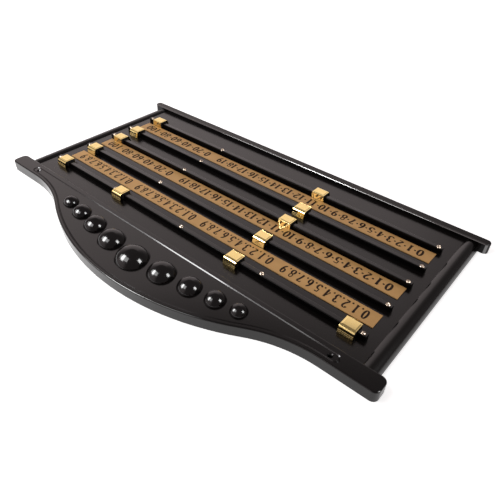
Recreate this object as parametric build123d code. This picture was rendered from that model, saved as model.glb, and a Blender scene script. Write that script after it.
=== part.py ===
from build123d import *
import math
import os

# A billiard scoreboard lying on its back, in millimetres.
# X runs to the right, Y up and Z out of the face as the board hangs.
# The origin lies under the middle of the board, on the plane of its back.

# Frame
frame_length = 850.0
frame_overhang = 15.0
opening_height = 357.0
frame_thickness = 20.0
face_height = 12.0
bottom_rail_width = 17.0
bottom_tip_radius = 8.0
top_edge_round = 2.2
cut_overrun = 1.0
hole_end_gap = 0.5

# Crest: straight ends, a hollow curve and a round crown
crest_end_width = 31.0
crest_depth = 119.0
crest_straight_end = 85.0
crown_radius = 470.0
crest_tip_radius = 9.5

# Routed line on the crest
line_from_inner_edge = 11.0
line_from_outer_edge = 6.6
line_from_end = 64.5
line_width = 3.0
line_depth = 1.25
line_slope = 45.0

# Wall screw holes at the crest's ends
wall_hole_from_end = 78.0
wall_hole_radius = 2.5
wall_hole_from_inner_edge = 18.0
countersink_radius = 4.6

# Side rails with a rounded crown
side_rail_width = 24.5
side_rail_height = 16.0
side_rail_lip = 1.0

# Backboard in the rebate behind the frame
board_thickness = 9.0
rebate_width = 8.0
rebate_clearance = 0.2

# Corner dowels
dowel_radius = 3.0
dowel_clearance = 0.1
dowel_height = 7.0
dowel_from_inner_edge = 16.0
dowel_in_frame = 11.0
dowel_in_side_rail = 18.0
dowel_end_gap = 0.3

# Screws that hold the backboard, driven from behind
board_screw_x = (-330.0, -110.0, 110.0, 330.0)
board_screw_radius = 1.5
board_screw_head_radius = 3.2
board_screw_head_height = 1.8
board_screw_bite = 5.0
screw_hole_clearance = 0.1

# Half balls: radius, height, distance from the middle and from the crest's inner edge
ball_sizes = (
    (14.3, 11.5, 205.0, 39.0),
    (17.5, 13.6, 164.0, 44.8),
    (20.4, 15.2, 116.5, 50.8),
    (24.4, 17.3, 62.0, 57.8),
)
middle_ball_radius = 29.0
middle_ball_height = 19.7
middle_ball_from_edge = 65.0
spigot_radius = 3.0
spigot_length = 6.0
spigot_clearance = 0.1

# Slide rails
rail_end_gap = 17.5
rail_width = 9.0
rail_height = 10.0
rail_top_round = 1.6
kerf_depth = 1.2
kerf_height = 1.6
kerf_above_face = 3.0
rail_drops = (43.0, 115.3, 180.8, 228.6, 294.1)

# Round-headed screws in the slide rails
end_screw_inset = 7.0
scale_screw_x = 134.5
rail_screw_head_radius = 4.0
rail_screw_head_height = 2.4
rail_screw_radius = 1.5
rail_screw_bite = 7.0

# Number plates
plate_end_gap = 22.0
plate_width = 30.5
plate_thickness = 1.5
plate_drops = (83.0, 158.5, 268.5)

# Sliding pointers: a folded brass cap over a moulded shoe
slider_length = 25.5
slider_height = 14.5
cap_half_width = 9.9
sheet_thickness = 0.8
panel_raise = 0.4
panel_margin = 1.8
grip_bend_radius = 3.3
grip_flare = 11.0
grip_above_face = 0.5
grip_ridges = 3
ridge_pitch = 2.3
ridge_height = 0.45
pointer_reach = 11.0
pointer_drop = 9.6
pointer_tip_width = 1.4
tab_panel_margin = 2.4
tab_panel_depth = 0.35
shoe_half_width = 7.6
shoe_inset = 0.6
shoe_above_face = 2.0
slide_clearance = 0.2

# Where the pointers rest on each slide rail and the way they point: -1 down, +1 up.
# On the first rail each is measured from its own screw, on the others the first is from the middle.
first_rail_way = -1
first_rail_rest = (19.6, 56.5, -17.3, -20.4)
lower_rail_rest = (
    (-1, -124.8, -20.6),
    (+1, -127.0, -23.6),
    (-1, -125.8, -23.0),
    (+1, -121.2, -25.2),
)

# Places that follow from the sizes above
board_height = crest_depth + opening_height + bottom_rail_width
crest_edge = board_height / 2 - crest_depth
bottom_edge = crest_edge - opening_height
half_opening = frame_length / 2 - frame_overhang - side_rail_width
crest_straight_from = frame_length / 2 - crest_straight_end
line_reach = frame_length / 2 - line_from_end
wall_hole_x = frame_length / 2 - wall_hole_from_end
rail_length = 2 * (half_opening - rail_end_gap)
plate_length = 2 * (half_opening - plate_end_gap)
end_screw_x = rail_length / 2 - end_screw_inset
quarter_screw_x = end_screw_x / 2
first_rail_stops = (-end_screw_x, -quarter_screw_x, quarter_screw_x, end_screw_x)
first_rail_places = tuple(stop + rest for stop, rest in zip(first_rail_stops, first_rail_rest))
slider_places = ((first_rail_way, first_rail_places),) + tuple(
    (way, (scale_rest, end_screw_x + end_rest)) for way, scale_rest, end_rest in lower_rail_rest
)
rebate_reach = half_opening + rebate_width
board_back = face_height - board_thickness
rail_top = face_height + rail_height
hollow_radius = (
    crest_straight_from ** 2 + (crest_depth - crest_end_width) ** 2
) / (2 * (crest_depth - crest_end_width)) - crown_radius


def cylinder_at(radius, x, y, z_from, z_to):
    """An upright cylinder between two heights."""
    return Pos(x, y, (z_from + z_to) / 2) * Cylinder(radius, z_to - z_from)


def box_between(low, high):
    """A box from its lowest to its highest corner."""
    size = [b - a for a, b in zip(low, high)]
    middle = [(a + b) / 2 for a, b in zip(low, high)]
    return Pos(*middle) * Box(*size)


def ogee(inset, start_x):
    """The crest's outer edge moved inwards by inset, from +start_x to -start_x."""
    low = crest_edge + crest_end_width - inset
    hollow_centre = Vector(crest_straight_from, crest_edge + crest_end_width + hollow_radius)
    crown_centre = Vector(0, crest_edge + crest_depth - crown_radius)
    towards_crown = (crown_centre - hollow_centre).normalized()
    turn = hollow_centre + towards_crown * (hollow_radius + inset)
    top = Vector(0, crest_edge + crest_depth - inset)
    return [
        Line((start_x, low), (crest_straight_from, low)),
        TangentArc((crest_straight_from, low), (turn.X, turn.Y), tangent=(-1, 0)),
        ThreePointArc((turn.X, turn.Y), (top.X, top.Y), (-turn.X, turn.Y)),
        TangentArc((-crest_straight_from, low), (-turn.X, turn.Y), tangent=(1, 0)),
        Line((-crest_straight_from, low), (-start_x, low)),
    ]


def rounded_bar(outline, tip_radius):
    """A frame member of full thickness with rounded tips and an eased top edge."""
    bar = extrude(outline, frame_thickness)
    upright = bar.edges().filter_by(Axis.Z)
    bar = fillet(upright.group_by(Axis.X)[0] + upright.group_by(Axis.X)[-1], tip_radius)
    top = bar.faces().sort_by(Axis.Z)[-1]
    return fillet(top.outer_wire().edges(), top_edge_round)


def routed_line():
    """The V-shaped line that follows the crest's edges and turns at both ends."""
    inner_y = crest_edge + line_from_inner_edge
    outer_y = crest_edge + crest_end_width - line_from_outer_edge
    turn_radius = (outer_y - inner_y) / 2
    turn_x = line_reach - turn_radius
    loop = Wire(
        ogee(line_from_outer_edge, turn_x)
        + [
            ThreePointArc((-turn_x, outer_y), (-line_reach, (inner_y + outer_y) / 2), (-turn_x, inner_y)),
            Line((-turn_x, inner_y), (turn_x, inner_y)),
            ThreePointArc((turn_x, inner_y), (line_reach, (inner_y + outer_y) / 2), (turn_x, outer_y)),
        ]
    )
    ring = make_face(loop.offset_2d(line_width / 2)) - make_face(loop.offset_2d(-line_width / 2))
    return extrude(Pos(0, 0, frame_thickness) * ring, -line_depth, taper=line_slope)


def crest():
    """The shaped top member, with its rebate, routed line, wall holes and ball sockets."""
    edge = Wire(
        ogee(0, frame_length / 2)
        + [
            Line((-frame_length / 2, crest_edge + crest_end_width), (-frame_length / 2, crest_edge)),
            Line((-frame_length / 2, crest_edge), (frame_length / 2, crest_edge)),
            Line((frame_length / 2, crest_edge), (frame_length / 2, crest_edge + crest_end_width)),
        ]
    )
    body = rounded_bar(make_face(edge), crest_tip_radius)
    body -= routed_line()
    body -= box_between(
        (-rebate_reach, crest_edge - cut_overrun, -cut_overrun),
        (rebate_reach, crest_edge + rebate_width, face_height),
    )
    hole_y = crest_edge + wall_hole_from_inner_edge
    for side in (-1, 1):
        body -= Pos(side * wall_hole_x, hole_y, frame_thickness) * CounterSinkHole(
            wall_hole_radius, countersink_radius, 2 * frame_thickness
        )
    for x, y, _, _ in ball_places():
        floor = frame_thickness - spigot_length - hole_end_gap
        body -= cylinder_at(spigot_radius + spigot_clearance, x, y, floor, frame_thickness + cut_overrun)
    for side in (-1, 1):
        body -= dowel_hole(side, crest_edge - cut_overrun, crest_edge + dowel_in_frame)
    return body - board_screw_holes(crest_edge + rebate_width / 2)


def bottom_rail():
    """The straight bottom member with its rebate."""
    outline = Pos(0, bottom_edge - bottom_rail_width / 2) * Rectangle(frame_length, bottom_rail_width)
    body = rounded_bar(outline, bottom_tip_radius)
    body -= box_between(
        (-rebate_reach, bottom_edge - rebate_width, -cut_overrun),
        (rebate_reach, bottom_edge + cut_overrun, face_height),
    )
    for side in (-1, 1):
        body -= dowel_hole(side, bottom_edge - dowel_in_frame, bottom_edge + cut_overrun)
    return body - board_screw_holes(bottom_edge - rebate_width / 2)


def side_rail(side):
    """A half-round side member between the crest and the bottom rail."""
    rise = side_rail_height - face_height - side_rail_lip
    crown = side_rail_width + rise - math.sqrt(2 * side_rail_width * rise)
    centre = (side_rail_width - crown, side_rail_height - crown)
    middle = math.atan2(face_height + side_rail_lip - centre[1], -centre[0]) / 2
    section = Wire(
        [
            Line((0, face_height), (0, face_height + side_rail_lip)),
            ThreePointArc(
                (0, face_height + side_rail_lip),
                (centre[0] + crown * math.cos(middle), centre[1] + crown * math.sin(middle)),
                (side_rail_width, centre[1]),
            ),
            Line((side_rail_width, centre[1]), (side_rail_width, 0)),
            Line((side_rail_width, 0), (rebate_width, 0)),
            Line((rebate_width, 0), (rebate_width, face_height)),
            Line((rebate_width, face_height), (0, face_height)),
        ]
    )
    start = Plane((half_opening, crest_edge, 0), x_dir=(1, 0, 0), z_dir=(0, -1, 0))
    body = extrude(start * make_face(section), opening_height)
    if side < 0:
        body = mirror(body, Plane.YZ)
    body -= dowel_hole(side, crest_edge - dowel_in_side_rail, crest_edge + cut_overrun)
    return body - dowel_hole(side, bottom_edge - cut_overrun, bottom_edge + dowel_in_side_rail)


def dowel_hole(side, y_from, y_to):
    """The hole for a corner dowel, along Y."""
    x = side * (half_opening + dowel_from_inner_edge)
    hole = Rot(90, 0, 0) * Cylinder(dowel_radius + dowel_clearance, y_to - y_from)
    return Pos(x, (y_from + y_to) / 2, dowel_height) * hole


def frame_dowels():
    """The four dowels that join the side rails to the crest and the bottom rail."""
    length = dowel_in_frame + dowel_in_side_rail - 2 * dowel_end_gap
    offset = (dowel_in_frame - dowel_in_side_rail) / 2
    pins = []
    for side in (-1, 1):
        x = side * (half_opening + dowel_from_inner_edge)
        for y in (crest_edge + offset, bottom_edge - offset):
            pins.append(Pos(x, y, dowel_height) * Rot(90, 0, 0) * Cylinder(dowel_radius, length))
    return Compound(pins)


def board_screw_places():
    """Where the backboard's screws stand along the crest and the bottom rail."""
    rows = (crest_edge + rebate_width / 2, bottom_edge - rebate_width / 2)
    return [(x, y) for y in rows for x in board_screw_x]


def board_screw_holes(y):
    """Pilot holes for one row of backboard screws in a frame member."""
    top = face_height + board_screw_bite + hole_end_gap
    holes = [
        cylinder_at(board_screw_radius + screw_hole_clearance, x, y, face_height - cut_overrun, top)
        for x in board_screw_x
    ]
    return Compound(holes)


def screw(radius, length, head_radius, head_height):
    """A screw with a domed head above Z = 0 and its shank below."""
    dome = (head_radius ** 2 + head_height ** 2) / (2 * head_height)
    side = math.asin(head_radius / dome) / 2
    profile = Wire(
        [
            Line((0, -length), (radius, -length + radius)),
            Line((radius, -length + radius), (radius, 0)),
            Line((radius, 0), (head_radius, 0)),
            ThreePointArc(
                (head_radius, 0),
                (dome * math.sin(side), head_height - dome + dome * math.cos(side)),
                (0, head_height),
            ),
            Line((0, head_height), (0, -length)),
        ]
    )
    return revolve(Plane.XZ * make_face(profile), Axis.Z)


def backboard_screws():
    """The screws behind the board, heads on its back."""
    one = screw(
        board_screw_radius,
        board_thickness + board_screw_bite,
        board_screw_head_radius,
        board_screw_head_height,
    )
    return Compound([Pos(x, y, board_back) * Rot(180, 0, 0) * one for x, y in board_screw_places()])


def backboard():
    """The flat board behind the frame, with holes for both sets of screws."""
    reach_x = rebate_reach - rebate_clearance
    top = crest_edge + rebate_width - rebate_clearance
    bottom = bottom_edge - rebate_width + rebate_clearance
    body = box_between((-reach_x, bottom, board_back), (reach_x, top, face_height))
    hole = board_screw_radius + screw_hole_clearance
    for x, y in board_screw_places():
        body -= cylinder_at(hole, x, y, board_back - cut_overrun, face_height + cut_overrun)
    pilot = rail_screw_radius + screw_hole_clearance
    floor = face_height - rail_screw_bite - hole_end_gap
    for row, drop in enumerate(rail_drops):
        for x in rail_screw_x(row):
            body -= cylinder_at(pilot, x, crest_edge - drop, floor, face_height + cut_overrun)
    return body


def ball_places():
    """Centre, radius and height of each half ball, from left to right."""
    left = [(-x, drop, radius, height) for radius, height, x, drop in ball_sizes]
    middle = [(0.0, middle_ball_from_edge, middle_ball_radius, middle_ball_height)]
    right = [(-x, drop, radius, height) for x, drop, radius, height in reversed(left)]
    return [(x, crest_edge + drop, radius, height) for x, drop, radius, height in left + middle + right]


def half_ball(x, y, radius, height):
    """A turned dome with a spigot under it."""
    ball = (radius ** 2 + height ** 2) / (2 * height)
    side = math.asin(radius / ball) / 2
    profile = Wire(
        [
            Line((0, -spigot_length), (spigot_radius, -spigot_length)),
            Line((spigot_radius, -spigot_length), (spigot_radius, 0)),
            Line((spigot_radius, 0), (radius, 0)),
            ThreePointArc(
                (radius, 0), (ball * math.sin(side), height - ball + ball * math.cos(side)), (0, height)
            ),
            Line((0, height), (0, -spigot_length)),
        ]
    )
    dome = revolve(Plane.XZ * make_face(profile), Axis.Z)
    return Pos(x, y, frame_thickness) * dome


def rail_screw_x(row):
    """Where the screws stand along one slide rail: at its ends and between its scales."""
    if row == 0:
        return (-end_screw_x, -quarter_screw_x, 0.0, quarter_screw_x, end_screw_x)
    return (-end_screw_x, scale_screw_x, end_screw_x)


def rail_section():
    """The slide rail's section: eased top edges and a kerf along each side."""
    section = Pos(0, rail_height / 2) * Rectangle(rail_width, rail_height)
    section = fillet(section.vertices().group_by(Axis.Y)[-1], rail_top_round)
    for side in (-1, 1):
        kerf = Rectangle(2 * kerf_depth, kerf_height)
        section -= Pos(side * rail_width / 2, kerf_above_face + kerf_height / 2) * kerf
    return section


def slide_rail(row):
    """One slide rail, screwed down on the board's face."""
    y = crest_edge - rail_drops[row]
    start = Plane((-rail_length / 2, y, face_height), x_dir=(0, 1, 0), z_dir=(1, 0, 0))
    body = extrude(start * rail_section(), rail_length)
    hole = rail_screw_radius + screw_hole_clearance
    for x in rail_screw_x(row):
        body -= cylinder_at(hole, x, y, face_height - cut_overrun, rail_top + cut_overrun)
    return body


def rail_screws(row):
    """The round-headed screws of one slide rail."""
    one = screw(
        rail_screw_radius, rail_height + rail_screw_bite, rail_screw_head_radius, rail_screw_head_height
    )
    y = crest_edge - rail_drops[row]
    return Compound([Pos(x, y, rail_top) * one for x in rail_screw_x(row)])


def number_plate(drop):
    """A flat plate glued to the board's face."""
    return Pos(0, crest_edge - drop, face_height + plate_thickness / 2) * Box(
        plate_length, plate_width, plate_thickness
    )


def cap_section():
    """The folded sheet seen along the rail: flat top, grip bend and ridged, flaring grip."""
    top = slider_height - panel_raise
    bend = Vector(-cap_half_width, top - grip_bend_radius)
    out = Vector(-math.cos(math.radians(grip_flare)), math.sin(math.radians(grip_flare)))
    down = Vector(-out.Y, out.X)
    inner_radius = grip_bend_radius - sheet_thickness
    outer_start = bend + out * grip_bend_radius
    inner_start = bend + out * inner_radius
    half_turn = Vector(-1, 1).normalized()
    grip_length = (outer_start.Y - grip_above_face) / -down.Y
    ridge_points = []
    for ridge in range(grip_ridges):
        foot = grip_length - ridge * ridge_pitch
        ridge_points.append(outer_start + down * foot)
        ridge_points.append(outer_start + down * (foot - ridge_pitch / 4) + out * ridge_height)
        ridge_points.append(outer_start + down * (foot - ridge_pitch / 2))
    grip = [outer_start] + ridge_points[::-1] + [inner_start + down * grip_length, inner_start]
    return make_face(
        Wire(
            [
                Line((cap_half_width, top), (-cap_half_width, top)),
                ThreePointArc((-cap_half_width, top), tuple(bend + half_turn * grip_bend_radius)[:2],
                              tuple(outer_start)[:2]),
                *Polyline([tuple(point)[:2] for point in grip]).edges(),
                ThreePointArc(tuple(inner_start)[:2], tuple(bend + half_turn * inner_radius)[:2],
                              (-cap_half_width, top - sheet_thickness)),
                Line((-cap_half_width, top - sheet_thickness), (cap_half_width, top - sheet_thickness)),
                Line((cap_half_width, top - sheet_thickness), (cap_half_width, top)),
            ]
        )
    )


def pointer_tab():
    """The three-cornered tab that slopes down from the cap's front edge to its point."""
    top = slider_height - panel_raise
    end = cap_half_width + pointer_reach
    slope = make_face(
        Polyline(
            [
                (cap_half_width - sheet_thickness, top),
                (cap_half_width, top),
                (end, top - pointer_drop),
                (end - sheet_thickness / 2, top - pointer_drop - sheet_thickness),
                (cap_half_width - sheet_thickness, top - sheet_thickness),
            ],
            close=True,
        )
    )
    plan = make_face(
        Polyline(
            [
                (cap_half_width - 2 * sheet_thickness, -slider_length / 2),
                (cap_half_width, -slider_length / 2),
                (end, -pointer_tip_width / 2),
                (end, pointer_tip_width / 2),
                (cap_half_width, slider_length / 2),
                (cap_half_width - 2 * sheet_thickness, slider_length / 2),
            ],
            close=True,
        )
    )
    return (along_rail(slope, slider_length) & extrude(plan, slider_height)) - tab_panel()


def tab_panel():
    """The three-cornered panel pressed into the tab's slope."""
    length = math.hypot(pointer_reach, pointer_drop)
    half_root = slider_length / 2
    outline = make_face(
        Polyline([(0, -half_root), (length, 0), (0, half_root)], close=True)
    )
    panel = offset(outline, -tab_panel_margin, kind=Kind.INTERSECTION)
    root = (cap_half_width, 0, slider_height - panel_raise)
    slope = Plane(root, x_dir=(pointer_reach, 0, -pointer_drop), z_dir=(pointer_drop, 0, pointer_reach))
    return extrude(slope * panel, tab_panel_depth, both=True)


def along_rail(section, length):
    """A section in the plane across the rail, drawn out evenly to both sides along it."""
    across = Plane((0, length / 2, 0), x_dir=(1, 0, 0), z_dir=(0, -1, 0))
    return extrude(across * section, length)


def slider_cap():
    """The brass cap: its fold, its raised top panel and its pointer."""
    panel = Rectangle(2 * (cap_half_width - panel_margin), slider_length - 2 * panel_margin)
    raised = Pos(0, 0, slider_height - panel_raise) * extrude(panel, panel_raise, taper=45)
    return along_rail(cap_section(), slider_length) + raised + pointer_tab()


def slider_shoe():
    """The moulded shoe that fills the cap and runs on the rail, its lips in the kerfs."""
    top = slider_height - panel_raise - sheet_thickness
    channel = rail_width / 2 + slide_clearance
    lip_reach = rail_width / 2 - kerf_depth + slide_clearance
    lip_low = kerf_above_face + slide_clearance
    lip_high = kerf_above_face + kerf_height - slide_clearance
    section = Pos(0, (top + shoe_above_face) / 2) * Rectangle(2 * shoe_half_width, top - shoe_above_face)
    below = rail_height + slide_clearance - shoe_above_face
    section -= Pos(0, shoe_above_face + below / 2) * Rectangle(2 * channel, below)
    for side in (-1, 1):
        lip = Rectangle(channel - lip_reach, lip_high - lip_low)
        section += Pos(side * (channel + lip_reach) / 2, (lip_low + lip_high) / 2) * lip
    return along_rail(section, slider_length - 2 * shoe_inset)


def placed(part, row, x, way):
    """A slider part, modelled pointing along +X, turned and set on its rail."""
    return Pos(x, crest_edge - rail_drops[row], face_height) * Rot(0, 0, 90 * way) * part


def all_parts():
    """Every piece of the board under its own name."""
    parts = {
        "backboard": backboard(),
        "crest": crest(),
        "bottom_rail": bottom_rail(),
        "side_rail_left": side_rail(-1),
        "side_rail_right": side_rail(1),
        "frame_dowels": frame_dowels(),
        "backboard_screws": backboard_screws(),
    }
    for number, place in enumerate(ball_places(), 1):
        parts[f"half_ball_{number}"] = half_ball(*place)
    for number, drop in enumerate(plate_drops, 1):
        parts[f"number_plate_{number}"] = number_plate(drop)
    cap = slider_cap()
    shoe = slider_shoe()
    for row, (way, places) in enumerate(slider_places):
        parts[f"slide_rail_{row + 1}"] = slide_rail(row)
        parts[f"rail_{row + 1}_screws"] = rail_screws(row)
        for number, x in enumerate(places, 1):
            parts[f"pointer_{row + 1}_{number}_cap"] = placed(cap, row, x, way)
            parts[f"pointer_{row + 1}_{number}_shoe"] = placed(shoe, row, x, way)
    return parts


os.makedirs("parts", exist_ok=True)
for name, shape in all_parts().items():
    export_step(shape, f"parts/{name}.step")
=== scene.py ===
import math

import bmesh
import bpy
import numpy as np
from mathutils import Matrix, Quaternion, Vector


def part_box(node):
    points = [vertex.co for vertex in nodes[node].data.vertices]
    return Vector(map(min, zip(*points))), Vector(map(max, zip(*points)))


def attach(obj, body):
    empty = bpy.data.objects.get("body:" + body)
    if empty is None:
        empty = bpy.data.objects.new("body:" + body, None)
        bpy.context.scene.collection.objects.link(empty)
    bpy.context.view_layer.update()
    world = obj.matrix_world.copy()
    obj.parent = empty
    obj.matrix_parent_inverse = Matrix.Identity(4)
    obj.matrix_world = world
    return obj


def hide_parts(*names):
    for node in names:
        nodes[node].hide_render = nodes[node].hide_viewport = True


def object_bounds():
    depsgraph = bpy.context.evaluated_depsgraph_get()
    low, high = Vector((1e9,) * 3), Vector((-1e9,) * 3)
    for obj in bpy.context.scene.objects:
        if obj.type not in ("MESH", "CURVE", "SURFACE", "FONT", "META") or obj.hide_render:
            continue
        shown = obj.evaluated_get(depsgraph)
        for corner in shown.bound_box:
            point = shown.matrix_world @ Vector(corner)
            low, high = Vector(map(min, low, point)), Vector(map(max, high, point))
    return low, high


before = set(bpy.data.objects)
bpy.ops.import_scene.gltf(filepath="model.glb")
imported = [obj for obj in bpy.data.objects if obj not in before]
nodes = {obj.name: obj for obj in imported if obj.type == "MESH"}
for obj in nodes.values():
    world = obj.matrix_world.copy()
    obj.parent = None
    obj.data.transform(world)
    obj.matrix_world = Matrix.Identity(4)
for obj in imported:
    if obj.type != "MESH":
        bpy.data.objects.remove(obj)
box_at_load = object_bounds()


# The backboard: a flat panel of fibreboard, sprayed with black lacquer and rubbed to a soft gloss.
# It lies in the frame's rebate and carries the slide rails and the number plates on its face.
# Sprayed lacquer shows a fine orange peel, a little dust, and patches that shine less.
class Signal:
    """One output of a finish's nodes. Sums and products with signals or numbers add Math nodes."""

    def __init__(self, finish, socket):
        self.finish = finish
        self.socket = socket

    def maths(self, operation, first, second):
        return self.finish.node("Math", {"operation": operation}, {0: first, 1: second})

    def __add__(self, other):
        return self.maths("ADD", self, other)

    __radd__ = __add__

    def __mul__(self, other):
        return self.maths("MULTIPLY", self, other)

    __rmul__ = __mul__

    def __sub__(self, other):
        return self.maths("SUBTRACT", self, other)

    def __rsub__(self, other):
        return self.maths("SUBTRACT", other, self)

    def __truediv__(self, other):
        return self.maths("DIVIDE", self, other)

    def above(self, limit):
        return self.maths("GREATER_THAN", self, limit)

    def at_most(self, limit):
        return self.maths("MINIMUM", self, limit)

    def at_least(self, limit):
        return self.maths("MAXIMUM", self, limit)

    def angle_from(self, other):
        return self.maths("ARCTAN2", self, other)

    def clipped(self):
        return self.finish.node("Clamp", {}, {"Value": self})


class Finish:
    """A named material: its shader's constant sockets, and the nodes that vary the others."""

    def __init__(self, name, **constants):
        self.material = bpy.data.materials.new(name)
        self.material.use_nodes = True
        self.tree = self.material.node_tree
        self.shader = self.tree.nodes["Principled BSDF"]
        for socket, value in constants.items():
            self.shader.inputs[socket.replace("_", " ")].default_value = value

    def node(self, kind, settings, inputs, output=0):
        """Adds a node: its settings first, then the numbers or signals of its sockets."""
        made = self.tree.nodes.new("ShaderNode" + kind)
        for setting, value in settings.items():
            setattr(made, setting, value)
        for socket, value in inputs.items():
            if isinstance(value, Signal):
                self.tree.links.new(value.socket, made.inputs[socket])
            else:
                made.inputs[socket].default_value = value
        return Signal(self, made.outputs[output])

    def place(self, stretch=(1.0, 1.0, 1.0), shift=(0.0, 0.0, 0.0)):
        """Object coordinates in metres, shifted and then stretched."""
        spot = self.node("TexCoord", {}, {}, "Object")
        return self.node("Mapping", {"vector_type": "POINT"}, {
            "Vector": spot,
            "Scale": stretch,
            "Location": [-a * b for a, b in zip(shift, stretch)],
        })

    def noise(self, vector, scale, detail=2.0):
        return self.node("TexNoise", {}, {"Vector": vector, "Scale": scale, "Detail": detail})

    def colours(self, factor, first, second):
        """A colour between two colours, which may be signals."""
        ends = [c if isinstance(c, Signal) else (*c, 1.0) for c in (first, second)]
        return self.node("Mix", {"data_type": "RGBA"}, {0: factor, 6: ends[0], 7: ends[1]}, 2)

    def drive(self, socket, signal):
        self.tree.links.new(signal.socket, self.shader.inputs[socket])

    def bump(self, height, strength, distance):
        self.drive("Normal", self.node("Bump", {}, {
            "Height": height, "Strength": strength, "Distance": distance,
        }))

    def coat(self, *node_names):
        """Puts this finish on carried-over nodes."""
        for node_name in node_names:
            slots = nodes[node_name].data.materials
            slots.clear()
            slots.append(self.material)


def lacquer(name, gloss, grain_along, pigment=0.002, peel=0.35, **constants):
    """Black lacquer: orange peel, grain that telegraphs through, dust and patches of gloss."""
    patch_scale, grain_scale, peel_scale, speck_scale = 9.0, 420.0, 260.0, 95.0
    grain_squeeze = 0.06
    speck_radius, speck_edge = 0.045, 60.0
    finish = Finish(name, IOR=1.5, **constants)
    fine = finish.place()
    stretch = [1.0, 1.0, 1.0]
    if grain_along is not None:
        stretch[grain_along] = grain_squeeze
    patches = finish.noise(fine, patch_scale)
    grain = finish.noise(finish.place(stretch), grain_scale, 3.0)
    orange_peel = finish.noise(fine, peel_scale, 1.0)
    specks = finish.node("TexVoronoi", {"feature": "F1"}, {"Vector": fine, "Scale": speck_scale}, "Distance")
    dust = ((speck_radius - specks) * speck_edge).clipped()
    finish.drive("Base Color", finish.colours(
        (patches * 0.6 + grain * 0.4).clipped(),
        (0.8 * pigment, 0.62 * pigment, 0.58 * pigment), (1.3 * pigment, 1.0 * pigment, 0.95 * pigment),
    ))
    finish.drive("Roughness", (gloss + (patches - 0.5) * 0.06 + dust * 0.12).clipped())
    finish.bump(orange_peel * peel + grain * 0.25 + dust * 0.6, 0.08, 0.0003)
    return finish


lacquer("black_board_lacquer", gloss=0.22, grain_along=None, pigment=0.004).coat("backboard")


# The frame: crest, bottom rail and two half-round side rails of hardwood, under the same lacquer.
# The crest is shaped, with a routed line along its edges, and the bottom rail's inner top edge is
# rubbed to a polish. Dowels hold the corners, and steel screws hold the backboard from behind.
millimetre = 0.001
polish_start = 0.12 * millimetre
polish_end = 2.2 * millimetre
lacquer("black_frame_lacquer_along", gloss=0.14, grain_along=0).coat("crest")
lacquer("black_frame_lacquer_across", gloss=0.20, grain_along=1, peel=0.1).coat(
    "side_rail_left", "side_rail_right"
)
bottom_finish = lacquer(
    "black_bottom_rail_lacquer", gloss=0.16, grain_along=0,
    Specular_IOR_Level=0.2, Coat_IOR=2.4, Coat_Roughness=0.10,
)
bottom_y = bottom_finish.node("SeparateXYZ", {}, {0: bottom_finish.place()}, "Y")
from_inner_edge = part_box("bottom_rail")[1].y - bottom_y
bottom_finish.drive("Coat Weight", from_inner_edge.above(polish_start) - from_inner_edge.above(polish_end))
bottom_finish.coat("bottom_rail")

dowel_finish = Finish("beech_dowel", Roughness=0.6)
dowel_grain = dowel_finish.noise(dowel_finish.place(stretch=(1.0, 0.05, 1.0)), 900.0, 4.0)
dowel_finish.drive("Base Color", dowel_finish.colours(dowel_grain, (0.50, 0.33, 0.17), (0.66, 0.47, 0.27)))
dowel_finish.bump(dowel_grain, 0.3, 0.0002)
dowel_finish.coat("frame_dowels")

zinc_finish = Finish("zinc_plated_steel", Metallic=1.0)
zinc_cloud = zinc_finish.noise(zinc_finish.place(), 700.0, 3.0)
zinc_finish.drive("Base Color", zinc_finish.colours(zinc_cloud, (0.52, 0.52, 0.50), (0.68, 0.67, 0.63)))
zinc_finish.drive("Roughness", 0.28 + zinc_cloud * 0.2)
zinc_finish.coat("backboard_screws")


# The nine half balls: turned domes of hardwood, sprayed with many coats and buffed to a mirror.
# Each has a spigot glued into the crest. The lathe leaves the faintest rings about its axis.
ball_count = 9
for number in range(1, ball_count + 1):
    ball_name = f"half_ball_{number}"
    low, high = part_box(ball_name)
    ball_finish = Finish(f"turned_gloss_lacquer_{number}", IOR=1.5)
    about_axis = ball_finish.place(shift=((low.x + high.x) / 2, (low.y + high.y) / 2, 0.0))
    rings = ball_finish.node("TexWave", {"wave_type": "RINGS", "rings_direction": "Z"}, {
        "Vector": about_axis, "Scale": 130.0, "Distortion": 1.5, "Detail": 1.0,
    })
    haze = ball_finish.noise(about_axis, 60.0)
    ball_finish.drive("Base Color", ball_finish.colours(
        haze, (0.0045, 0.0038, 0.0040), (0.0080, 0.0068, 0.0068)
    ))
    ball_finish.drive("Roughness", 0.10 + haze * 0.05)
    ball_finish.bump(rings, 0.015, 0.0002)
    ball_finish.coat(ball_name)


# The five slide rails: machined black hardwood strips with a kerf along each side, screwed down.
# Their sides are dull, and the pointers that run on them keep their flat tops rubbed bright.
rail_count = 5
rubbed_depth = 0.2 * millimetre
rail_finish = lacquer(
    "black_rail_lacquer", gloss=0.30, grain_along=0, peel=0.1, Specular_IOR_Level=0.06, Coat_Roughness=0.20
)
rail_z = rail_finish.node("SeparateXYZ", {}, {0: rail_finish.place()}, "Z")
rail_finish.drive("Coat Weight", rail_z.above(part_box("slide_rail_1")[1].z - rubbed_depth))
rail_finish.coat(*[f"slide_rail_{number}" for number in range(1, rail_count + 1)])


# The rails' screws: nickel-plated round heads with a straight slot, each driven to its own angle.
# The head is a low dome whose slot has upright walls; the shank below ends in a plain point. The
# first rail has five, evenly spaced, and the others three, the middle one between two scales.
screw_head_radius = 4.0 * millimetre
screw_head_height = 2.4 * millimetre
screw_shank_radius = 1.5 * millimetre
screw_shank_length = 17.0 * millimetre
slot_half_width = 0.45 * millimetre
slot_depth = 1.1 * millimetre
screw_turn_step = math.radians(137.5)
between_scales_x = 134.5 * millimetre


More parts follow.
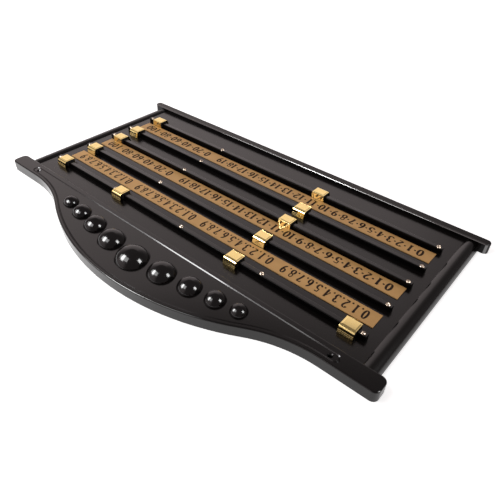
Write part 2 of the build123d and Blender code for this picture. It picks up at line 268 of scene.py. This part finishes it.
def surface_faces(rows, columns, wrap_columns=False):
    """Quads of a grid of points, numbered row by row, as an array of four indices each."""
    column_ends = columns if wrap_columns else columns - 1
    row, column = np.meshgrid(np.arange(rows - 1), np.arange(column_ends), indexing="ij")
    after = (column + 1) % columns
    corners = [row * columns + column, row * columns + after,
               (row + 1) * columns + after, (row + 1) * columns + column]
    return np.stack(corners, -1).reshape(-1, 4)


def merge(mesh, reach=1e-6):
    """Merges points that coincide and turns every face outwards."""
    shell = bmesh.new()
    shell.from_mesh(mesh)
    bmesh.ops.remove_doubles(shell, verts=shell.verts, dist=reach)
    bmesh.ops.dissolve_degenerate(shell, edges=shell.edges, dist=reach / 10)
    bmesh.ops.recalc_face_normals(shell, faces=shell.faces)
    shell.to_mesh(mesh)
    shell.free()


def piece(name, patches, body, finish, smooth=True):
    """A mesh joined from patches of points and faces, merged at its seams and set on its body."""
    points = np.concatenate([grid.reshape(-1, 3) for grid, _ in patches])
    faces, first = [], 0
    for grid, quads in patches:
        faces += (quads + first).tolist()
        first += grid.reshape(-1, 3).shape[0]
    mesh = bpy.data.meshes.new(name)
    mesh.from_pydata(points.tolist(), [], faces)
    shape = bpy.data.objects.new(name, mesh)
    bpy.context.scene.collection.objects.link(shape)
    merge(mesh)
    mesh.polygons.foreach_set("use_smooth", [smooth] * len(mesh.polygons))
    mesh.materials.append(finish.material)
    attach(shape, body)
    return shape


def slotted_top(turn):
    """Dome over a disc: x runs in fixed columns across the slot, y = v * sqrt(R^2 - x^2), and
    z = dome(r), dropped by the slot's depth between the two columns at its walls."""
    side = np.sin(np.linspace(math.asin(slot_half_width / screw_head_radius), math.pi / 2, 9))
    side = side * screw_head_radius
    x = np.concatenate([-side[::-1], [-slot_half_width, slot_half_width], side])
    drop = np.zeros(len(x))
    drop[len(side):len(side) + 2] = slot_depth
    v = np.sin(np.linspace(-math.pi / 2, math.pi / 2, 17))
    grid_x, grid_v = np.meshgrid(x, v, indexing="ij")
    grid_y = grid_v * np.sqrt(np.maximum(screw_head_radius ** 2 - grid_x ** 2, 0.0))
    dome = (screw_head_radius ** 2 + screw_head_height ** 2) / (2 * screw_head_height)
    height = np.sqrt(dome ** 2 - grid_x ** 2 - grid_y ** 2) - dome + screw_head_height
    height = np.maximum(height - drop[:, None], 0.0)
    turned_x = grid_x * math.cos(turn) - grid_y * math.sin(turn)
    turned_y = grid_x * math.sin(turn) + grid_y * math.cos(turn)
    return np.stack([turned_x, turned_y, height], -1)


def screw_shank(sides=24):
    """A profile of (radius, height) turned about Z: underside of the head, shank and point."""
    radius = np.array([screw_head_radius, screw_shank_radius, screw_shank_radius, 0.0])
    height = np.array([0.0, 0.0, screw_shank_radius - screw_shank_length, -screw_shank_length])
    angle = np.linspace(0.0, 2 * math.pi, sides, endpoint=False)
    return np.stack([
        radius[:, None] * np.cos(angle),
        radius[:, None] * np.sin(angle),
        height[:, None] * np.ones(sides),
    ], -1)


nickel_finish = Finish("nickel_plated_steel", Metallic=1.0)
nickel_scuff = nickel_finish.noise(nickel_finish.place(), 1400.0, 3.0)
nickel_finish.drive("Base Color", nickel_finish.colours(
    nickel_scuff, (0.40, 0.32, 0.25), (0.55, 0.46, 0.37)
))
nickel_finish.drive("Roughness", 0.22 + nickel_scuff * 0.16)
screw_turn = 0.0
for number in range(1, rail_count + 1):
    rail_low, rail_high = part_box(f"slide_rail_{number}")
    middle_y = (rail_low.y + rail_high.y) / 2
    end_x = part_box(f"rail_{number}_screws")[1].x - screw_head_radius
    screw_places = [-end_x, between_scales_x, end_x]
    if number == 1:
        screw_places = [-end_x, -end_x / 2, 0.0, end_x / 2, end_x]
    patches = []
    for x in screw_places:
        seat = np.array([x, middle_y, rail_high.z])
        top = slotted_top(screw_turn) + seat
        shank = screw_shank() + seat
        patches += [(top, surface_faces(*top.shape[:2])), (shank, surface_faces(*shank.shape[:2], True))]
        screw_turn += screw_turn_step
    screws = piece(f"rail_{number}_round_head_screws", patches, "board", nickel_finish)
    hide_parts(f"rail_{number}_screws")


# The number plates: strips of aluminium, anodised matt gold and brushed along their length.
# They are glued to the board, and their numerals are printed in a dark brown ink.
gold_finish = Finish("matt_gold_plate", Metallic=0.15, Specular_IOR_Level=0.55)
brushed = gold_finish.noise(gold_finish.place(stretch=(0.02, 1.0, 1.0)), 1500.0, 4.0)
tarnish = gold_finish.noise(gold_finish.place(), 55.0, 4.0)
gold_finish.drive("Base Color", gold_finish.colours(
    (brushed * 0.35 + tarnish * 0.65).clipped(), (0.53, 0.285, 0.088), (0.74, 0.445, 0.160)
))
gold_finish.drive("Roughness", 0.36 + brushed * 0.14)
gold_finish.bump(brushed, 0.25, 0.00015)
plate_count = 3
gold_finish.coat(*[f"number_plate_{number}" for number in range(1, plate_count + 1)])

ink_finish = Finish("brown_print", Roughness=0.65, Specular_IOR_Level=0.15)
ink_cloud = ink_finish.noise(ink_finish.place(), 900.0, 2.0)
ink_finish.drive("Base Color", ink_finish.colours(ink_cloud, (0.020, 0.010, 0.005), (0.036, 0.018, 0.010)))
ink_thickness = 0.05 * millimetre
cell_middle = 0.275
cell_width = 2 * cell_middle


def arc(middle, radii, start, end, steps=14):
    """Points on an ellipse between two angles in degrees."""
    angle = np.radians(np.linspace(start, end, steps))
    return np.stack([middle[0] + radii[0] * np.cos(angle), middle[1] + radii[1] * np.sin(angle)], -1)


def numeral_strokes(digit):
    """The pen's paths for one digit, or else a dot, in a cell one high: (points, thin, thick)."""
    hairline, thin, bar, slim, thick = 0.06, 0.10, 0.11, 0.12, 0.21
    middle = cell_middle
    if digit == "0":
        return [(arc((middle, 0.5), (0.20, 0.475), 0, 360, 25), thin, thick)]
    if digit == "1":
        flag = arc((0.08, 0.98), (0.19, 0.16), -80, 0, 6)
        return [(np.array([(middle, 0.0), (middle, 1.0)]), thick, thick), (flag, thin, thin),
                (np.array([(0.12, 0.02), (0.43, 0.02)]), thin, thin)]
    if digit == "2":
        hook = arc((middle, 0.74), (0.19, 0.235), 170, -25, 14)
        sweep = np.array([hook[-1], (0.36, 0.46), (0.22, 0.27), (0.10, 0.10)])
        return [(np.concatenate([hook, sweep[1:]]), thin, thick),
                (np.array([(0.07, 0.06), (0.47, 0.06)]), bar, bar)]
    if digit == "3":
        upper = arc((0.25, 0.755), (0.17, 0.22), 165, -75, 14)
        lower = arc((0.24, 0.28), (0.20, 0.255), 80, -160, 14)
        return [(upper, thin, thick), (lower, thin, thick)]
    if digit == "4":
        return [(np.array([(0.36, 0.97), (0.05, 0.30)]), thin, thin),
                (np.array([(0.04, 0.28), (0.50, 0.28)]), hairline, hairline),
                (np.array([(0.36, 0.0), (0.36, 1.0)]), thick, thick)]
    if digit == "5":
        bowl = arc((0.25, 0.31), (0.20, 0.28), 125, -160, 16)
        return [(np.array([(0.13, 0.92), (0.45, 0.92)]), bar, bar),
                (np.array([(0.15, 0.94), (0.12, 0.55)]), thin, thin), (bowl, thin, thick)]
    if digit == "6":
        bowl = arc((middle, 0.29), (0.185, 0.265), 0, 360, 19)
        tail = arc((0.42, 0.30), (0.335, 0.68), 180, 98, 10)
        return [(bowl, thin, thick), (tail, thin, thick)]
    if digit == "7":
        leg = np.array([(0.47, 0.90), (0.35, 0.62), (0.27, 0.34), (0.23, 0.0)])
        return [(np.array([(0.08, 0.93), (0.48, 0.93)]), bar, bar),
                (np.array([(0.09, 0.95), (0.08, 0.78)]), thin, thin), (leg, thin, thick)]
    if digit == "8":
        return [(arc((middle, 0.755), (0.165, 0.22), 0, 360, 17), thin, slim),
                (arc((middle, 0.275), (0.195, 0.25), 0, 360, 19), thin, thick)]
    if digit == "9":
        return [(np.array([cell_width, 1.0]) - points, a, b) for points, a, b in numeral_strokes("6")]
    return [(arc((middle, 0.0), (0.05, 0.05), 0, 360, 13), thin, thin)]


def pen_stroke(points, thin, thick):
    """A flat ribbon about a path: half its width lies to each side along the path's normal, and the
    width grows from thin where the pen runs level to thick where it runs upright."""
    way = np.gradient(points, axis=0)
    way /= np.linalg.norm(way, axis=1)[:, None]
    normal = np.stack([-way[:, 1], way[:, 0]], -1)
    width = thin + (thick - thin) * np.abs(way[:, 1:2]) ** 1.5
    return points + normal * width / 2, points - normal * width / 2


def printed(strokes, corner, height, stretch, top):
    """Strokes as closed films of ink: a box section along each path, capped at both ends."""
    patches = []
    for points, thin, thick in strokes:
        one_side, other_side = pen_stroke(points, thin, thick)
        edges = [one_side, other_side, other_side, one_side]
        levels = [top, top, top + ink_thickness, top + ink_thickness]
        ring = np.stack([
            np.column_stack([
                corner[0] + edge[:, 0] * height * stretch, corner[1] + edge[:, 1] * height,
                np.full(len(edge), level),
            ]) for edge, level in zip(edges, levels)
        ], 1)
        faces = surface_faces(len(points), 4, True)
        if np.linalg.norm(points[0] - points[-1]) > 1e-6:
            last = 4 * (len(points) - 1)
            faces = np.concatenate([faces, [[3, 2, 1, 0], [last, last + 1, last + 2, last + 3]]])
        patches.append((ring, faces))
    return patches


def line_of_numerals(text, first_x, digit_step, dot_step, middle_y, height, stretch, dot_level, top):
    """Sets a text of digits and dots from its first digit's centre, each in its own step."""
    patches, x = [], first_x - digit_step / 2
    for mark in text:
        step = dot_step if mark == "." else digit_step
        strokes = numeral_strokes(mark)
        base = middle_y - height / 2
        if mark == ".":
            base += dot_level
        corner = (x + step / 2 - cell_middle * height * stretch, base)
        patches += printed(strokes, corner, height, stretch, top)
        x += step
    return patches


# The first plate has four scales of single figures with low dots, one to each quarter of its rail.
# The others count to nineteen with raised dots, and then by twenties in a wider setting. Each row
# here is a text, its first figure's place, and the steps of a figure and a dot, in millimetres.
ten_scale = ".".join(str(n) for n in range(10))
unit_scale = ".".join(str(n) for n in range(20))
twenty_scale = ".".join(str(n) for n in range(0, 101, 20))
quarter_start, quarter_pitch = -343.0, 178.5
plate_texts = [
    [(ten_scale, quarter_start + quarter_pitch * quarter, 8.9, 7.6) for quarter in range(4)],
    [(unit_scale, -341.4, 10.2, 8.6), (twenty_scale, 156.8, 13.0, 9.0)],
    [(unit_scale, -341.4, 10.2, 8.6), (twenty_scale, 155.8, 13.0, 9.0)],
]
numeral_heights = [18.6 * millimetre, 17.4 * millimetre, 17.4 * millimetre]
numeral_stretches = [0.86, 1.10, 1.10]
dot_levels = [1.4 * millimetre, 8.7 * millimetre, 8.7 * millimetre]
for number, texts in enumerate(plate_texts, 1):
    low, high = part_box(f"number_plate_{number}")
    patches = []
    for text, first_x, digit_step, dot_step in texts:
        patches += line_of_numerals(
            text, first_x * millimetre, digit_step * millimetre, dot_step * millimetre,
            (low.y + high.y) / 2, numeral_heights[number - 1], numeral_stretches[number - 1],
            dot_levels[number - 1], high.z,
        )
    piece(f"number_plate_{number}_numerals", patches, "board", ink_finish, smooth=False)


# The twelve pointers: each is one piece of brass sheet, folded, pressed and polished.
# A raised panel stiffens its top, a round bend leads to a flared grip with three pressed beads, and
# a three-cornered tab slopes down to its point. The moulded shoe inside it runs on the rail.

# These lengths are in millimetres, measured across the rail, along it and up from the board's face.
cap_half_width = 9.9
cap_half_length = 12.75
cap_top = 14.1
panel_margin = 1.5
panel_slope = 1.3
panel_raise = 0.4
panel_inset = panel_margin + panel_slope * np.array([0.0, 0.15, 0.85, 1.0])
sheet_thickness = 0.8
arris_width = 0.12
tab_reach = 11.0
tab_drop = 9.6
tab_tip_half_width = 0.7
tab_rim = 1.2
tab_root_rim = 0.8
window_tip_half_width = 0.1
front_wall_foot = 1.8
grip_bend_start = 8.2
grip_bend_radius = 4.8
grip_flare = math.radians(13.5)
grip_foot = 0.5
bead_pitch = 2.5
bead_share = 0.62
bead_height = 0.16
bead_count = 3


def cap_profile():
    """Stations across the rail as rows of (across, height): the flat top, the quarter bend about
    its centre, and the straight grip with a raised squared sine per bead."""
    grip_side = panel_inset[::-1] - grip_bend_start - panel_margin
    across = np.concatenate([[cap_half_width], cap_half_width - panel_inset, [0.0], grip_side])
    flat = np.stack([across, np.full(len(across), cap_top)], -1)
    centre = np.array([-grip_bend_start, cap_top - grip_bend_radius])
    turn = np.linspace(math.pi / 2, math.pi - grip_flare, 16)[1:]
    bend = centre + grip_bend_radius * np.stack([np.cos(turn), np.sin(turn)], -1)
    out = np.array([-math.cos(grip_flare), math.sin(grip_flare)])
    down = np.array([-out[1], out[0]])
    length = (bend[-1, 1] - grip_foot) / -down[1]
    run = np.linspace(0.0, length, 81)[1:]
    phase = (length - run) / bead_pitch
    crest = np.sin(math.pi * np.minimum(phase % 1.0 / bead_share, 1.0)) ** 2
    bead = np.where(phase < bead_count, crest, 0.0)
    grip = bend[-1] + run[:, None] * down + (bead_height * bead)[:, None] * out
    return np.concatenate([flat, bend, grip])


def cap_sheet():
    """The sheet's outer face: every station runs from end to end of the cap, and the points inside
    the panel's rectangle are raised, with one band of slope round it."""
    stations = cap_profile()
    edges = cap_half_length - np.concatenate([[0.0], panel_inset])
    along, across = np.meshgrid(np.concatenate([-edges, [0.0], edges[::-1]]), stations[:, 0])
    height = np.repeat(stations[:, 1:2], along.shape[1], 1)
    inside = np.minimum(cap_half_length - np.abs(along), cap_half_width - across)
    inside = np.minimum(inside, across + grip_bend_start + panel_margin) - panel_margin
    raised = np.clip(inside / panel_slope, 0.0, 1.0) * (height > cap_top - 1e-6)
    return np.stack([across, along, height + panel_raise * raised], -1)


def pointer_frame():
    """The tab on its slope, a ring of four corners per row: its outer edge and its window's edge,
    first on the upper face and then on the lower one, closed on the first row."""
    length = math.hypot(tab_reach, tab_drop)
    narrowing = (cap_half_length - tab_tip_half_width) / length
    rim_across = tab_rim * math.hypot(1.0, narrowing)
    window_tip = (cap_half_length - rim_across) / narrowing
    root_half = cap_half_length - narrowing * tab_root_rim - rim_across
    outer = [(0.0, -cap_half_length), (length, -tab_tip_half_width), (length, tab_tip_half_width),
             (0.0, cap_half_length)]
    window = [(tab_root_rim, -root_half), (window_tip, -window_tip_half_width),
              (window_tip, window_tip_half_width), (tab_root_rim, root_half)]
    rows = np.array([outer, window, window, outer, outer])
    depth = np.array([0.0, 0.0, 1.0, 1.0, 0.0])[:, None] * sheet_thickness
    lean, rise = tab_reach / length, tab_drop / length
    return np.stack([
        cap_half_width + rows[..., 0] * lean - depth * rise,
        rows[..., 1],
        cap_top - rows[..., 0] * rise - depth * lean,
    ], -1)


def front_wall():
    """The upright wall behind the tab: a box section drawn out from end to end of the cap, its two
    ends drawn together into their middles."""
    low, high = front_wall_foot, cap_top - sheet_thickness
    back, front = cap_half_width - sheet_thickness, cap_half_width
    section = np.array([(back, low), (front, low), (front, high), (back, high)])
    middle = np.repeat(section.mean(0)[None], 4, 0)
    rows = [middle, section, section, middle]
    along = np.array([-1.0, -1.0, 1.0, 1.0]) * cap_half_length
    return np.stack([
        np.array([row[:, 0] for row in rows]),
        np.repeat(along[:, None], 4, 1),
        np.array([row[:, 1] for row in rows]),
    ], -1)


brass_finish = Finish("polished_brass", Metallic=1.0)
brass_wear = brass_finish.noise(brass_finish.place(), 240.0, 3.0)
brass_rub = brass_finish.noise(brass_finish.place(stretch=(0.08, 1.0, 1.0)), 1600.0, 2.0)
brass_finish.drive("Base Color", brass_finish.colours(brass_wear, (0.93, 0.70, 0.26), (0.99, 0.80, 0.37)))
brass_finish.drive("Roughness", 0.08 + brass_wear * 0.05 + brass_rub * 0.03)

plastic_finish = Finish("black_moulded_plastic")
plastic_grain = plastic_finish.noise(plastic_finish.place(), 1200.0, 2.0)
plastic_finish.drive("Base Color", plastic_finish.colours(
    plastic_grain, (0.010, 0.010, 0.011), (0.020, 0.020, 0.022)
))
plastic_finish.drive("Roughness", 0.42 + plastic_grain * 0.15)
plastic_finish.bump(plastic_grain, 0.2, 0.0001)


def bent_sheet(shape):
    """Gives a brass face its thickness, eases its sharp edges and shades its bends evenly."""
    wall = shape.modifiers.new("sheet", "SOLIDIFY")
    wall.thickness = sheet_thickness * millimetre
    wall.offset = -1.0
    wall.use_even_offset = True
    arris = shape.modifiers.new("arris", "BEVEL")
    arris.width = arris_width * millimetre
    arris.segments = 2
    arris.limit_method = "ANGLE"
    arris.angle_limit = math.radians(30)
    even = shape.modifiers.new("even", "WEIGHTED_NORMAL")
    even.keep_sharp = False


board_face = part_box("backboard")[1].z
pointers_on_rails = (4, 2, 2, 2, 2)
for row, count in enumerate(pointers_on_rails, 1):
    for number in range(1, count + 1):
        name = f"pointer_{row}_{number}"
        low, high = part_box(f"{name}_cap")
        rail_low, rail_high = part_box(f"slide_rail_{row}")
        rail_y = (rail_low.y + rail_high.y) / 2
        way = 1.0 if high.y - rail_y > rail_y - low.y else -1.0
        middle_x = (low.x + high.x) / 2
        shapes = []
        for form, wrapped in ((cap_sheet(), False), (pointer_frame(), True), (front_wall(), True)):
            placed = np.stack([
                middle_x + form[..., 1] * millimetre,
                rail_y + way * form[..., 0] * millimetre,
                board_face + form[..., 2] * millimetre,
            ], -1)
            faces = surface_faces(*placed.shape[:2], wrapped)
            shapes.append((placed, faces[:, ::-1] if way > 0 else faces))
        sheet, tab, wall = shapes
        cap = piece(f"{name}_brass_cap", [sheet], name, brass_finish)
        bent_sheet(cap)
        piece(f"{name}_brass_tab", [tab, wall], name, brass_finish, smooth=False)
        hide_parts(f"{name}_cap")
        plastic_finish.coat(f"{name}_shoe")


# The studio: a white floor and light walls with a dark ceiling, which the lacquer and the brass
# mirror; a large soft box with dimmer flanks and a small one, which the half balls mirror too; and
# an overhead fill that nothing mirrors. A camera ray sees the floor and the room as plain white.
floor_reach = 8.0
floor_seen_level = 0.75
floor_mirrored_middle = 0.85
floor_mirrored_per_metre = 0.7
floor_mirrored_limit = 1.1
floor_level = box_at_load[0].z
floor_mesh = bpy.data.meshes.new("floor")
floor_mesh.from_pydata(
    [(x * floor_reach, y * floor_reach, floor_level) for x, y in ((-1, -1), (1, -1), (1, 1), (-1, 1))],
    [], [(0, 1, 2, 3)],
)
floor = bpy.data.objects.new("floor", floor_mesh)
bpy.context.scene.collection.objects.link(floor)
floor_finish = Finish(
    "white_floor", Base_Color=(0.80, 0.80, 0.80, 1.0), Roughness=0.9, Specular_IOR_Level=0.0,
    Emission_Strength=1.0,
)
seen = floor_finish.node("LightPath", {}, {}, "Is Camera Ray")
mirrored = floor_finish.node("LightPath", {}, {}, "Is Glossy Ray")
floor_x = floor_finish.node("SeparateXYZ", {}, {0: floor_finish.place()}, "X")
mirrored_level = (floor_mirrored_middle + floor_mirrored_per_metre * floor_x).at_most(floor_mirrored_limit)
floor_finish.drive("Emission Color", seen * floor_seen_level + mirrored * mirrored_level)
floor_mesh.materials.append(floor_finish.material)

world = bpy.data.worlds.new("studio")
bpy.context.scene.world = world
world.use_nodes = True


class Surround(Finish):
    """The nodes of the world or of a lamp, driven in the same way as a finish's."""

    def __init__(self, tree, shader_name):
        self.tree = tree
        self.shader = tree.nodes[shader_name]

    def along(self, axis):
        return self.node("SeparateXYZ", {}, {0: self.node("TexCoord", {}, {}, "Generated")}, axis)

    def ramp(self, signal, levels):
        """Grey levels at places along a signal, straight in between."""
        ramp = self.node("ValToRGB", {}, {"Fac": signal})
        stops = ramp.socket.node.color_ramp.elements
        while len(stops) < len(levels):
            stops.new(0.5)
        for stop, (place, level) in zip(stops, levels):
            stop.position = place
            stop.color = (level, level, level, 1.0)
        return ramp


# The walls' level goes by the direction about Z: 0 at -X, then -Y, +X and +Y, to 1 at -X again. The
# ceiling's goes by height, a little tilted. The light is warm, and nowhere under the darkest level.
ceiling_tilt = 0.1
darkest_level = 0.2
warm_green = 0.88
warm_blue = 0.87
room = Surround(world.node_tree, "Background")
azimuth = room.along("Y").angle_from(room.along("X")) / (2 * math.pi) + 0.5
backdrop = room.ramp(azimuth, [
    (0.20, 0.15), (0.264, 0.40), (0.278, 0.55), (0.294, 0.86), (0.31, 1.0),
    (0.431, 1.06), (0.486, 0.50), (0.55, 0.15), (0.60, 0.80), (0.72, 0.80), (0.78, 0.15),
])
falloff = room.ramp(room.along("Z") + room.along("X") * ceiling_tilt, [
    (0.0, 0.35), (0.10, 0.7), (0.17, 1.0), (0.60, 1.0), (0.66, 0.97), (0.715, 0.93),
    (0.75, 0.84), (0.764, 0.62), (0.785, 0.36), (0.805, 0.20), (0.835, 0.10),
])
level = (backdrop * falloff).at_least(darkest_level)
warm = room.node("CombineColor", {}, {
    "Red": level, "Green": level * warm_green, "Blue": level * warm_blue,
})
room.drive("Color", room.colours(room.node("LightPath", {}, {}, "Is Camera Ray"), warm, (1.0, 1.0, 1.0)))

# Each lamp: name, place, aim, size, radiance and the rays that it is hidden from. The mirrored ones
# light a path up to its second bounce only, so that no caustics glitter on the plates.
bounce_limit = 3.0
soft_boxes = [
    ("large_soft_box", (0.42, 0.64, 0.58), (0.42, -0.10, 0.0), (0.32, 0.44), 20.0, "visible_diffuse"),
    ("its_wide_flanks", (0.45, 0.65, 0.61), (0.45, -0.10, 0.0), (1.06, 0.32), 6.0, "visible_diffuse"),
    ("small_soft_box", (-1.70, -0.30, 1.20), (0.0, 0.19, 0.03), (0.62, 0.80), 18.0, "visible_diffuse"),
    ("overhead_fill", (0.90, 0.90, 1.80), (0.0, 0.0, 0.0), (1.20, 1.20), 4.0, "visible_glossy"),
]
for name, place, aim, size, radiance, hidden_from in soft_boxes:
    lamp = bpy.data.lights.new(name, "AREA")
    lamp.shape = "RECTANGLE"
    lamp.size, lamp.size_y = size
    lamp.energy = radiance * math.pi * size[0] * size[1]
    box_light = bpy.data.objects.new(name, lamp)
    bpy.context.scene.collection.objects.link(box_light)
    setattr(box_light, hidden_from, False)
    if hidden_from == "visible_diffuse":
        lamp.use_nodes = True
        beam = Surround(lamp.node_tree, "Emission")
        bounces = beam.node("LightPath", {}, {}, "Ray Depth")
        beam.drive("Strength", (bounce_limit - bounces).clipped())
    box_light.location = place
    box_light.rotation_euler = (Vector(place) - Vector(aim)).to_track_quat("Z", "Y").to_euler()

# The camera stands above the crest's corner, rolled a little, as it was solved from the photo.
camera_place = Vector((-0.517386, 0.530929, 0.536286))
camera_aim = Vector((-0.130758, 0.054226, 0.023184))
camera_roll = math.radians(1.9075)
camera_data = bpy.data.cameras.new("camera")
camera_data.lens = 35.097
camera_data.sensor_width = 36.0
camera_data.clip_start, camera_data.clip_end = 0.02, 50.0
camera = bpy.data.objects.new("camera", camera_data)
bpy.context.scene.collection.objects.link(camera)
camera.location = camera_place
camera.rotation_mode = "QUATERNION"
level_view = (camera_aim - camera_place).to_track_quat("-Z", "Y")
camera.rotation_quaternion = level_view @ Quaternion((0.0, 0.0, 1.0), camera_roll)
bpy.context.scene.camera = camera
bpy.context.scene.view_settings.view_transform = "Standard"
